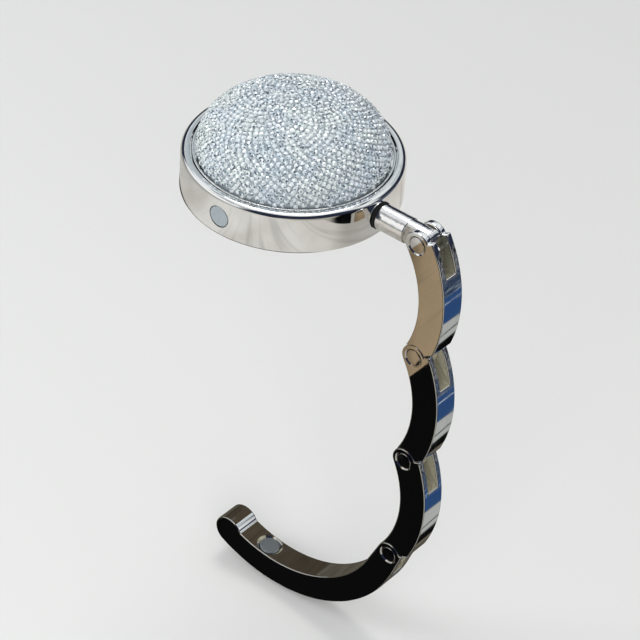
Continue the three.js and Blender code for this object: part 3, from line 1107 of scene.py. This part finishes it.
@dataclass(frozen=True)
class Fork:
    """What a link and the arm share at their own pin, and the tongue that a fork takes in."""

    width: float = 6.0
    head_radius: float = 2.9
    slot_width: float = 3.0
    slot_length: float = 6.0
    slot_reach: float = 14.2
    slot_rise: float = 3.0
    tongue_width: float = 2.7
    tongue_hole: float = 1.18
    pin_hole: float = 1.14
    sink_radius: float = 1.9
    sink_depth: float = 0.65
    sink_flare: float = 0.24
    overrun: float = 0.4
    web_near: float = 1.0
    web_far: float = 3.0
    web_angle: float = 40.0
    web_radius: float = 3.0
    edge: float = 0.30
    plain_ring: float = 0.1
    line_reach: float = 0.02

    def slot(self, webbed: bool) -> Piece:
        """Make the slot's cutter.

        Args:
            webbed: Whether it leaves the stop web standing.

        Returns:
            The cutter.
        """
        reach, foot, top = self.slot_reach, -self.slot_length, self.head_radius + self.slot_rise
        near = -math.degrees(math.acos(self.web_near / self.web_radius))
        web = [
            (self.web_near, foot),
            *arc((0.0, 0.0), self.web_radius, near, -self.web_angle, 6),
            (self.web_far, -self.web_far * math.tan(math.radians(self.web_angle))),
            (self.web_far, foot),
        ]
        outline = [(reach, foot), (reach, top), (-reach, top), (-reach, foot)]
        return Bench.plate("slot", outline + (web if webbed else []), self.slot_width)

    def sinks(self) -> list[Piece]:
        """Make the cutters of the two flared sinks for the pin's heads, and of its hole.

        Returns:
            The three cutters.
        """
        half = self.width / 2
        outside, floor = half + self.overrun, half - self.sink_depth
        profile = [
            (0.0, outside),
            (self.sink_radius + self.sink_flare + self.overrun, outside),
            (self.sink_radius, half - self.sink_flare),
            (self.sink_radius, floor),
            (0.0, floor),
        ]
        cutters = [
            Bench.turned("sink", [(radius, side * station) for radius, station in profile], Axis.Y)
            for side in (-1.0, 1.0)
        ]
        hole = Bench.bar(self.pin_hole, (0.0, -half, 0.0), (0.0, half, 0.0), facets=48)
        return [*cutters, hole]

    def clear_of_pin(self, distance: float) -> bool:
        """Tell whether a distance from the pin is outside the sinks."""
        return distance > self.sink_radius + self.sink_flare + self.plain_ring

    def line(self, piece: Piece) -> None:
        """Give the faces that lie wholly between the fork's cheeks their duller plate, whose darker
        colour is painted shade.

        Args:
            piece: The link or arm, in its place.
        """
        piece.data.materials.append(DULL_PLATE_AND_SHADE.material())
        limit = (self.slot_width / 2 + self.line_reach) * METRES
        spots = piece.data.vertices
        for face in piece.data.polygons:
            if all(abs(spots[corner].co.y) < limit for corner in face.vertices):
                face.material_index = 1


@dataclass(frozen=True)
class SwivelNeck:
    """The stud, collar and tongue that turn in the rim, and the washer outside it."""

    stud_end: float = 16.74
    stud_radius: float = 1.55
    stud_edge: float = 0.2
    groove_radius: float = 1.2
    groove_from: float = 17.54
    groove_to: float = 18.26
    collar_from: float = 22.91
    collar_end: float = 29.91
    collar_radius: float = 2.75
    collar_edge: float = 0.3
    eye: float = 33.80
    root_depth: float = 3.2
    root_inset: float = 0.4
    tongue_radius: float = 2.65
    tongue_round: float = 2.6
    tongue_corner: float = 0.35
    tooth_radius: float = 3.7
    tooth_foot: float = -31.1
    tooth_top: float = -8.1
    washer_inner: float = 1.70
    washer_outer: float = 2.88
    washer_from: float = 22.34
    washer_to: float = 22.83
    washer_edge: float = 0.16
    fork: Fork = Fork()

    def build(self) -> None:
        """Make the washer and the neck."""
        seat = Seat(0.0, NECK_HEIGHT)
        ring = disc(
            self.washer_outer, self.washer_from, self.washer_to, self.washer_edge, self.washer_inner
        )
        washer = Bench.smooth(Bench.turned("neck_ring", [*ring, ring[0]], Axis.X, steps=72))
        Bench.hand_over(washer, RUBBER, Body.CASE, "neck_washer", seat)
        Bench.hand_over(self.neck(), NECK_PLATE, Body.SWIVEL, "swivel_neck", seat)

    def neck(self) -> Piece:
        """Make the neck: a turned bar that runs out into a flat tongue with its pin hole.

        Returns:
            The finished neck.
        """
        profile = [
            (0.0, self.stud_end),
            (self.stud_radius - self.stud_edge, self.stud_end),
            (self.stud_radius, self.stud_end + self.stud_edge),
            (self.stud_radius, self.groove_from),
            (self.groove_radius, self.groove_from),
            (self.groove_radius, self.groove_to),
            (self.stud_radius, self.groove_to),
            (self.stud_radius, self.collar_from),
            *quarter((self.collar_radius, self.collar_from), self.collar_edge, -90, 6),
            *quarter((self.collar_radius, self.collar_end), self.collar_edge, 0, 6),
            (0.0, self.collar_end),
        ]
        neck = Bench.turned("neck_bar", profile, Axis.X)
        width = self.fork.tongue_width
        tongue = Bench.plate("tongue", self.tongue_outline(), 2 * width)
        bar = Bench.plate("bar", self.tongue_section(), 3 * self.eye)
        Bench.settle(bar, Matrix.Rotation(math.radians(90), 4, "Z"))
        Bench.carve(tongue, bar, how=Cut.SHARE)
        Bench.carve(neck, tongue, how=Cut.JOIN)
        ends = ((self.eye, -width, 0.0), (self.eye, width, 0.0))
        Bench.carve(neck, Bench.bar(self.fork.tongue_hole, *ends, facets=48))
        return Bench.smooth(neck)

    def tongue_section(self) -> list[Point]:
        """Draw the tongue's section: two flats milled on a round bar, with rounded corners.

        Returns:
            The points round the section.
        """
        side = self.fork.tongue_width / 2 - self.tongue_corner
        rise = math.sqrt((self.tongue_round - self.tongue_corner) ** 2 - side * side)
        meet = bearing((side, rise), (0.0, 0.0))
        corner = arc((side, rise), self.tongue_corner, 0.0, meet, 4)
        crown = arc((0.0, 0.0), self.tongue_round, meet, 180 - meet, 14)
        upper = [*corner, *crown[1:-1], *((-across, up) for across, up in reversed(corner))]
        return upper + [(-across, -up) for across, up in upper]

    def tongue_outline(self) -> list[Point]:
        """Draw the tongue's side view, with the stop tooth on its far end.

        Returns:
            The points round the outline.
        """
        eye = (self.eye, 0.0)
        root, half = self.collar_end - self.root_depth, self.collar_radius - self.root_inset
        return [
            (root, half),
            (root, -half),
            (self.collar_end, -self.tongue_radius),
            *arc(eye, self.tongue_radius, -90, self.tooth_foot, 20),
            *arc(eye, self.tooth_radius, self.tooth_foot, self.tooth_top, 10),
            *arc(eye, self.tongue_radius, self.tooth_top, 90, 32),
            (self.collar_end, self.tongue_radius),
        ]


@dataclass(frozen=True)
class Link:
    """One curved link, hung on its own pin at the origin and tongued below for the next."""

    pitch: float = 27.0
    crown: float = 7.097
    crown_radius: float = 31.5
    crown_station: float = 12.5
    hollow: float = 0.75
    shoulder: float = 27.0
    lip: float = 28.5
    sweep_radius: float = 3.2
    overrun: float = 0.5
    hole_ring: float = 1.5
    sweep_ring: float = 0.03
    fork: Fork = Fork()

    def outline(self) -> list[Point]:
        """Draw the side view: crown outside, hollow inside, a round head at each end.

        Returns:
            The points round the outline.
        """
        radius = self.fork.head_radius
        half = self.pitch / 2
        span, lean = self.hollow + radius, self.hollow - radius
        hollow_radius = (half * half + span * lean) / (2 * span)
        crown_centre = (self.crown - self.crown_radius, -self.crown_station)
        hollow_centre = (self.hollow - hollow_radius, -half)
        from_below = (crown_centre[0], crown_centre[1] + self.pitch)
        crown_top = ray_to_circle(self.shoulder, crown_centre, self.crown_radius)
        lip_top = ray_to_circle(self.lip, from_below, self.crown_radius)
        crown = bearing(lip_top, from_below), bearing(crown_top, crown_centre)
        blend = bearing((0.0, 0.0), hollow_centre)
        return [
            *arc((0.0, 0.0), radius, self.shoulder, 180 + blend, 36),
            *arc(hollow_centre, hollow_radius, blend, -blend, 44)[1:],
            *arc((0.0, -self.pitch), radius, -180 - blend, self.lip, 48)[1:],
            *arc(crown_centre, self.crown_radius, *crown, 52),
        ]

    def rounded(self, spot: Vector) -> bool:
        """Tell whether an edge is rounded: not at the holes, nor where the next link sweeps.

        Args:
            spot: The edge's middle.

        Returns:
            True where it is rounded.
        """
        own, below = math.hypot(spot.x, spot.z), math.hypot(spot.x, spot.z + self.pitch)
        swept = abs(below - self.sweep_radius) <= self.sweep_ring
        return self.fork.clear_of_pin(own) and below > self.hole_ring and not swept

    def build(self, webbed: bool) -> Piece:
        """Make a link in its own drawing.

        Args:
            webbed: Whether its slot has the stop web.

        Returns:
            The finished link.
        """
        link = Bench.plate("link", self.outline(), self.fork.width)
        foot, half = -self.pitch, self.fork.width / 2
        near, far = self.fork.tongue_width / 2, half + self.overrun
        runs = (((0.0, side * near, foot), (0.0, side * far, foot)) for side in (-1.0, 1.0))
        sweeps = [Bench.bar(self.sweep_radius, *run, facets=120) for run in runs]
        hole = Bench.bar(self.fork.tongue_hole, (0.0, -half, foot), (0.0, half, foot), facets=48)
        Bench.carve(link, self.fork.slot(webbed), *sweeps, *self.fork.sinks(), hole)
        Bench.soften(link, self.fork.edge, self.rounded)
        return Bench.smooth(link)


@dataclass(frozen=True)
class HookArm:
    """The long bowed arm with its rounded tip and the magnet in its inner face."""

    inner_radius: float = 27.6
    outer_radius: float = 33.8
    pin_radius: float = 31.2
    shoulder: float = 32.8
    shoulder_rise: float = 0.75
    tip_angle: float = 103.0
    tip_radius: float = 3.6
    magnet_angle: float = 84.5
    magnet_mouth: float = 0.40
    mouth_depth: float = 0.50
    mouth_ring: float = 0.2
    overrun: float = 1.0
    pocket_overrun: float = 3.0
    fork: Fork = Fork()
    magnet: Magnet = Magnet()

    def outline(self) -> list[Point]:
        """Draw the side view: head, inner bow, rounded tip and outer bow.

        Returns:
            The points round the outline.
        """
        centre = (-self.pin_radius, 0.0)
        inner, outer, head = self.inner_radius, self.outer_radius, self.fork.head_radius
        crown_top = polar((0.0, 0.0), head + self.shoulder_rise, self.shoulder)
        reach = Vector(crown_top) - Vector(centre)
        crown_blend = math.degrees(math.acos(outer / reach.length) - math.atan2(reach.y, reach.x))
        hollow_blend = math.degrees(math.acos((inner + head) / self.pin_radius))
        tip_reach = outer - self.tip_radius
        tip_centre = polar(centre, tip_reach, -self.tip_angle)
        meet_cosine = (inner**2 + tip_reach**2 - self.tip_radius**2) / (2 * inner * tip_reach)
        meet = math.degrees(math.acos(meet_cosine)) - self.tip_angle
        corner = bearing(polar(centre, inner, meet), tip_centre)
        return [
            crown_top,
            *arc((0.0, 0.0), head, self.shoulder, 180 - hollow_blend, 36),
            *arc(centre, inner, -hollow_blend, meet, 120)[1:],
            *arc(tip_centre, self.tip_radius, corner, 360 - self.tip_angle, 48)[1:],
            *arc(centre, outer, -self.tip_angle, -crown_blend, 140)[1:],
        ]

    def build(self, seat: Seat) -> None:
        """Make the arm and its magnet.

        Args:
            seat: Where the arm's own drawing stands.
        """
        arm = Bench.plate("bowed_arm", self.outline(), self.fork.width)
        across, up = polar((0.0, 0.0), 1.0, -self.magnet_angle)
        way, centre = Vector((across, 0.0, up)), Vector((-self.pin_radius, 0.0, 0.0))
        turn = Vector(Axis.Y.value).rotation_difference(way).to_matrix().to_4x4()
        face, wall = centre + way * self.inner_radius, self.magnet.radius + self.magnet.gap
        start, end = face - way * self.pocket_overrun, face + way * self.magnet.depth()
        mouth = [
            (0.0, -self.overrun),
            (wall + self.magnet_mouth + self.overrun, -self.overrun),
            (wall + self.magnet_mouth - self.mouth_depth, self.mouth_depth),
            (0.0, self.mouth_depth),
        ]
        flare = Bench.settle(Bench.turned("flare", mouth, Axis.Y), Matrix.Translation(face) @ turn)
        pocket = Bench.bar(wall, start, end)
        Bench.carve(arm, self.fork.slot(webbed=False), *self.fork.sinks(), pocket, flare)
        reach = wall + self.magnet_mouth + self.mouth_ring
        Bench.soften(
            arm,
            self.fork.edge,
            lambda spot: self.fork.clear_of_pin(math.hypot(spot.x, spot.z))
            and (spot - centre).cross(way).length > reach,
        )
        arm = Bench.hand_over(Bench.smooth(arm), PLATE, Body.HOOK, "hook_arm", seat)
        self.fork.line(arm)
        move = Matrix.Translation(face + way * self.magnet.inset) @ turn
        magnet = self.magnet.build("bow_magnet", move)
        Bench.hand_over(magnet, MAGNET, Body.HOOK, "arm_magnet", seat)


@dataclass(frozen=True)
class HingePin:
    """A pin with two flush heads, faintly crowned."""

    half: float = 3.0
    radius: float = 1.1
    head_radius: float = 1.75
    head_thickness: float = 0.5
    crown: float = 0.06
    crown_flat: float = 0.5
    crown_fall: float = 0.2
    edge: float = 0.16

    def build(self) -> Piece:
        """Make a pin in its own drawing.

        Returns:
            The finished pin, to be copied.
        """
        under = self.half - self.head_thickness
        head = [
            (self.radius, under),
            (self.head_radius, under),
            *quarter((self.head_radius, self.half - self.crown), self.edge, 0, 5),
            (self.head_radius * self.crown_flat, self.half - self.crown * self.crown_fall),
            (0.0, self.half),
        ]
        profile = [(radius, -station) for radius, station in reversed(head)] + head
        return Bench.smooth(Bench.turned("hinge_pin", profile, Axis.Y))


@dataclass(frozen=True)
class Chain:
    """The three links, the arm and the four pins, each at its hinge."""

    first_lean: float = -3.9
    open_turn: float = 3.5
    arm_turn: float = 9.3
    neck: SwivelNeck = SwivelNeck()
    link: Link = Link()

    def seats(self) -> list[Seat]:
        """Place the hinges of the open chain.

        Returns:
            The seat at each hinge, from the neck down.
        """
        found = [Seat(self.neck.eye, NECK_HEIGHT, self.first_lean)]
        for turn in (self.open_turn, self.open_turn, self.arm_turn):
            found.append(found[-1].below(self.link.pitch, turn))
        return found

    def build(self) -> None:
        """Make every link, pin and the arm."""
        patterns = self.link.build(webbed=True), self.link.build(webbed=False), HingePin().build()
        bodies = (Body.UPPER, Body.MIDDLE, Body.LOWER, Body.HOOK)
        for number, (seat, body) in enumerate(zip(self.seats(), bodies), 1):
            pin = Bench.copy(patterns[2], f"{body.value}_pin")
            Bench.hand_over(pin, PIN_PLATE, body, f"hinge_pin_{number}", seat)
            if body is Body.HOOK:
                HookArm().build(seat)
                continue
            link = Bench.copy(patterns[0 if number == 1 else 1], f"{body.value}_link")
            self.link.fork.line(Bench.hand_over(link, PLATE, body, f"link_{body.value}", seat))
        Bench.discard(*patterns)


# ---- studio


@dataclass(frozen=True)
class Card:
    """A glowing rectangle, from its lowest corner to its highest, that only polished metal sees: a
    painted reflection.
    """

    name: str
    low: Place
    high: Place
    colour: Colour
    shade: Colour

    def stand(self) -> None:
        """Make the card, at its place."""
        low, high = Vector(self.low), Vector(self.high)
        sides = [Vector(unit.value) * run for unit, run in zip(Axis, high - low) if run]
        card = Bench.wire(self.name, [low, low + sides[0], high, low + sides[1]], closed=True)
        bpy.ops.mesh.edge_face_add()
        bpy.ops.object.mode_set(mode="OBJECT")
        Bench.settle(card, Matrix.Scale(METRES, 4))
        card.data.materials.append(self.material())
        for ray in ("camera", "diffuse", "transmission", "volume_scatter", "shadow"):
            setattr(card, f"visible_{ray}", False)

    def material(self) -> bpy.types.Material:
        """Make the card's glow: patchy, grained, with painted shadow where the case and neck shade
        it, and darker towards -X.

        Returns:
            The material.
        """
        made = bpy.data.materials.new(self.name)
        sheet = Sheet(made)
        patches = sheet.noise(45.0, 2.0).ramp(0.35, 0.65)
        grain = sheet.noise(420.0, 3.0, (1.0, 0.06, 1.0)).ramp(0.50, 0.68, 1.0, 0.80)
        across, along, _ = sheet.parts()
        neck_side = along.ramp(-0.016, -0.012) * across.ramp(0.0, 0.01)
        # painted shadow: a dark ring round the case's foot, left out on the neck's side
        case_shadow = sheet.distance().ramp(0.0230, 0.0235, 0.08, 1.0) * (1.0 - neck_side) + neck_side
        neck_shade = along.window(-0.010, 0.004, 0.003) * across.ramp(0.018, 0.022)
        # painted shadow of the neck, and the card darker towards -X
        level = (1.0 - neck_shade * 0.34) * across.ramp(-0.034, 0.0, 0.66, 1.0)
        tint = sheet.blend(patches, self.colour, self.shade)
        inputs = {"Color": tint, "Strength": grain * case_shadow * level}
        glow = sheet.node("ShaderNodeEmission", inputs)
        sheet.node("ShaderNodeOutputMaterial", {"Surface": glow.outputs[0]})
        return made


@dataclass(frozen=True)
class Lamp:
    """One soft square lamp that faces the case: its side in millimetres, its power in watts."""

    name: str
    place: Place
    side: float
    power: float
    colour: Colour
    mirrored: bool = False

    def hang(self) -> None:
        """Add the lamp, which the metal sees only where it is mirrored."""
        data = bpy.data.lights.new(self.name, "AREA")
        data.shape = "SQUARE"
        data.size = self.side * METRES
        data.energy = self.power
        data.color = self.colour
        lamp = bpy.data.objects.new(self.name, data)
        bpy.context.scene.collection.objects.link(lamp)
        where = Vector(self.place) * METRES
        aim = (-where).to_track_quat("-Z", "Y").to_matrix().to_4x4()
        lamp.matrix_world = Matrix.Translation(where) @ aim
        lamp.visible_glossy = self.mirrored


@dataclass(frozen=True)
class Studio:
    """The camera, the pale floor, the soft lamps and what the polished metal reflects."""

    eye: Place = (292.881, -377.920, 343.256)
    right: Place = (0.76972, 0.63559, 0.05966)
    up: Place = (-0.43066, 0.44800, 0.78347)
    back: Place = (0.47124, -0.62875, 0.61855)
    lens: float = 165.12
    sensor: float = 36.0
    nearest: float = 0.01
    farthest: float = 30.0
    floor_height: float = -104.5
    floor_size: float = 6000.0
    floor_colour: Colour = (0.72, 0.72, 0.711)
    floor_far: Colour = (0.88, 0.88, 0.87)
    floor_fade: Point = (0.3, 1.0)
    navy: Colour = (0.020, 0.026, 0.048)
    card_edge: float = 29.7
    card_top: float = -0.25
    card_foot: float = -35.2
    card_reach: float = 420.0
    card_near: float = -8.0
    card_floor: float = -700.0
    lamps: tuple[Lamp, ...] = (
        Lamp("key_lamp", (-175.0, 225.0, 640.0), 300.0, 1.55, (1.0, 0.995, 0.98), mirrored=True),
        Lamp("fill_lamp", (-420.0, -330.0, 300.0), 320.0, 1.25, (0.97, 1.0, 0.99)),
        Lamp("front_lamp", (260.0, -340.0, 180.0), 320.0, 1.2, (1.0, 0.99, 0.98)),
    )

    def build(self) -> None:
        """Set the whole studio up, after the camera."""
        self.floor()
        self.surroundings()
        for piece in self.cards():
            piece.stand()
        for lamp in self.lamps:
            lamp.hang()
        bpy.context.scene.view_settings.view_transform = "Standard"

    def camera(self) -> None:
        """Make the camera at the photograph's viewing angle."""
        data = bpy.data.cameras.new("camera")
        data.lens, data.sensor_width = self.lens, self.sensor
        data.clip_start, data.clip_end = self.nearest, self.farthest
        camera = bpy.data.objects.new("camera", data)
        bpy.context.scene.collection.objects.link(camera)
        turn = Matrix((self.right, self.up, self.back)).transposed().to_4x4()
        camera.matrix_world = Matrix.Translation(Vector(self.eye) * METRES) @ turn
        bpy.context.scene.camera = camera

    def floor(self) -> None:
        """Make the plain pale floor. The metal sees the painted surroundings in its place."""
        Bench.clear()
        where = (0, 0, self.floor_height * METRES)
        bpy.ops.mesh.primitive_plane_add(size=self.floor_size * METRES, location=where)
        floor = bpy.context.active_object
        floor.name = "floor"
        made = bpy.data.materials.new("pale_floor")
        sheet = Sheet(made)
        fade = sheet.distance().ramp(*self.floor_fade)
        colour = sheet.blend(fade, self.floor_colour, self.floor_far)
        sheet.surface(Base_Color=colour, Roughness=0.9, Specular_IOR_Level=0.1)
        floor.data.materials.append(made)
        floor.visible_glossy = False

    def cards(self) -> list[Card]:
        """List the cards: one level below the case, one upright, and three dark ones beneath.

        Returns:
            The cards.
        """
        far, edge, near = self.card_reach, self.card_edge, self.card_near
        top, foot, low = self.card_top, self.card_foot, self.card_floor
        dim = (0.17, 0.155, 0.12), (0.12, 0.105, 0.08)
        level = (0.76, 0.745, 0.70), (0.60, 0.57, 0.52)
        upright = (0.36, 0.268, 0.165), (0.31, 0.230, 0.140)
        dark = (0.066, 0.050, 0.033), (0.094, 0.078, 0.056)
        return [
            Card("level_card", (-far, -far, top), (edge, far, top), *level),
            Card("upright_card", (edge, -far, foot), (edge, far, top), *upright),
            Card("dark_card", (-far, near, foot), (edge, far, foot), *dark),
            Card("back_card", (-far, far, low), (edge, far, foot), *dim),
            Card("left_card", (-far, -far, low), (-far, far, foot), *dim),
        ]

    def surroundings(self) -> None:
        """Paint what is all round: even for the eye and the floor, in bands for the metal."""
        world = bpy.data.worlds.new("surroundings")
        bpy.context.scene.world = world
        sheet = Sheet(world)
        way = sheet.node("ShaderNodeTexCoord").outputs["Generated"]
        x, y, up = sheet.parts(way)
        around = sheet.math("ARCTAN2", y, x) * math.degrees(1.0)
        sizes = ((2.6, 2.0), (26.0, 3.0), (80.0, 2.0))
        patches, specks, fine = (sheet.noise(*size, where=way) for size in sizes)
        far_side, low_side = around.window(40.0, 176.0, 4.0), around.window(20.0, 76.0, 1.5)
        ring = sheet.blend(specks.ramp(0.42, 0.62), (0.38, 0.44, 0.48), (0.72, 0.76, 0.77))
        haze = sheet.blend(around.window(-172.0, -100.0, 8.0), self.navy, (0.36, 0.37, 0.35))
        ground = sheet.layers(
            (0.0015, 0.0015, 0.002),
            (patches.ramp(0.42, 0.66), (0.005, 0.005, 0.005)),
            (around.window(-64.0, -8.0, 5.0), (0.40, 0.38, 0.33)),
        )
        dusk = specks.ramp(0.47, 0.60, 0.02, 0.32)
        grey = sheet.node("ShaderNodeCombineColor", {0: dusk, 1: dusk * 1.05, 2: dusk * 1.15})
        stripes = up.window(-0.497, -0.487, 0.004) + up.window(-0.436, -0.428, 0.004)
        painted_dark = up.window(-0.43, -0.25, 0.012) * low_side
        foot = up.window(-0.80, -0.645, 0.008)
        streaks = up.window(0.64, 0.86, 0.03) * around.window(-152.0, -90.0, 8.0)
        painted = sheet.layers(
            # overhead: pale clouds, and the ring, line and dark that the rims reflect
            (0.80, 0.83, 0.85),
            (patches.ramp(0.40, 0.60), (1.0, 1.0, 0.99)),
            (up.window(0.54, 0.665, 0.02) * far_side, ring),
            (up.window(0.80, 0.85, 0.012) * far_side, (0.06, 0.065, 0.08)),
            (up.window(-0.2, 0.52, 0.02) * far_side, self.navy),
            (up.window(-0.2, 0.90, 0.03) * around.window(-100.0, 20.0, 8.0), self.navy),
            (streaks * specks.ramp(0.44, 0.54), (0.07, 0.08, 0.09)),
            # level: haze, then the ground
            (up.ramp(0.10, 0.26, 1.0, 0.0), haze),
            (up.ramp(-0.04, 0.02, 1.0, 0.0), ground),
            # low on the side that the links' backs face: grey, striped blue, grey again
            (up.window(-0.40, -0.02, 0.03) * low_side, grey.outputs[0]),
            (up.window(-0.645, -0.38, 0.010) * low_side, (0.026, 0.068, 0.178)),
            (stripes * fine.ramp(0.46, 0.54) * low_side, (0.62, 0.68, 0.74)),
            (painted_dark, (0.020, 0.036, 0.075)),
            (painted_dark * fine.ramp(0.57, 0.64), (0.30, 0.36, 0.42)),
            (foot * low_side, (0.42, 0.43, 0.41)),
            (foot * around.window(67.0, 68.6, 0.5), (0.05, 0.05, 0.05)),
            (up.window(-0.82, -0.70, 0.02) * around.window(95.0, 140.0, 2.0), (0.20, 0.20, 0.19)),
        )
        rays = sheet.node("ShaderNodeLightPath").outputs
        seen, glossy = (Signal(sheet, rays[f"Is {ray} Ray"]) for ray in ("Camera", "Glossy"))
        shown = sheet.layers((0.56, 0.57, 0.58), (seen, (0.82, 0.82, 0.81)), (glossy, painted))
        air = sheet.node("ShaderNodeBackground", {"Color": shown, "Strength": 1.0})
        sheet.node("ShaderNodeOutputWorld", {"Surface": air.outputs[0]})


# ---- all


def dress_hidden_nodes() -> None:
    """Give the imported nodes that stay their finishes."""
    finishes = {"dome_core": RESIN, "retaining_washer": STEEL, "retaining_clip": STEEL}
    for name, finish in finishes.items():
        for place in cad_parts[name].material_slots:
            place.material = finish.material()
        LOG.info("%s keeps its packed shape", name)


def main() -> None:
    """Make the camera, every sub-assembly in order, and the studio."""
    logging.basicConfig(level=logging.INFO, format="%(name)s: %(message)s")
    studio = Studio()
    studio.camera()
    for assembly in (Case(), StoneInsert(), SwivelNeck(), Chain()):
        assembly.build()
    dress_hidden_nodes()
    studio.build()


if __name__ == "__main__":
    main()
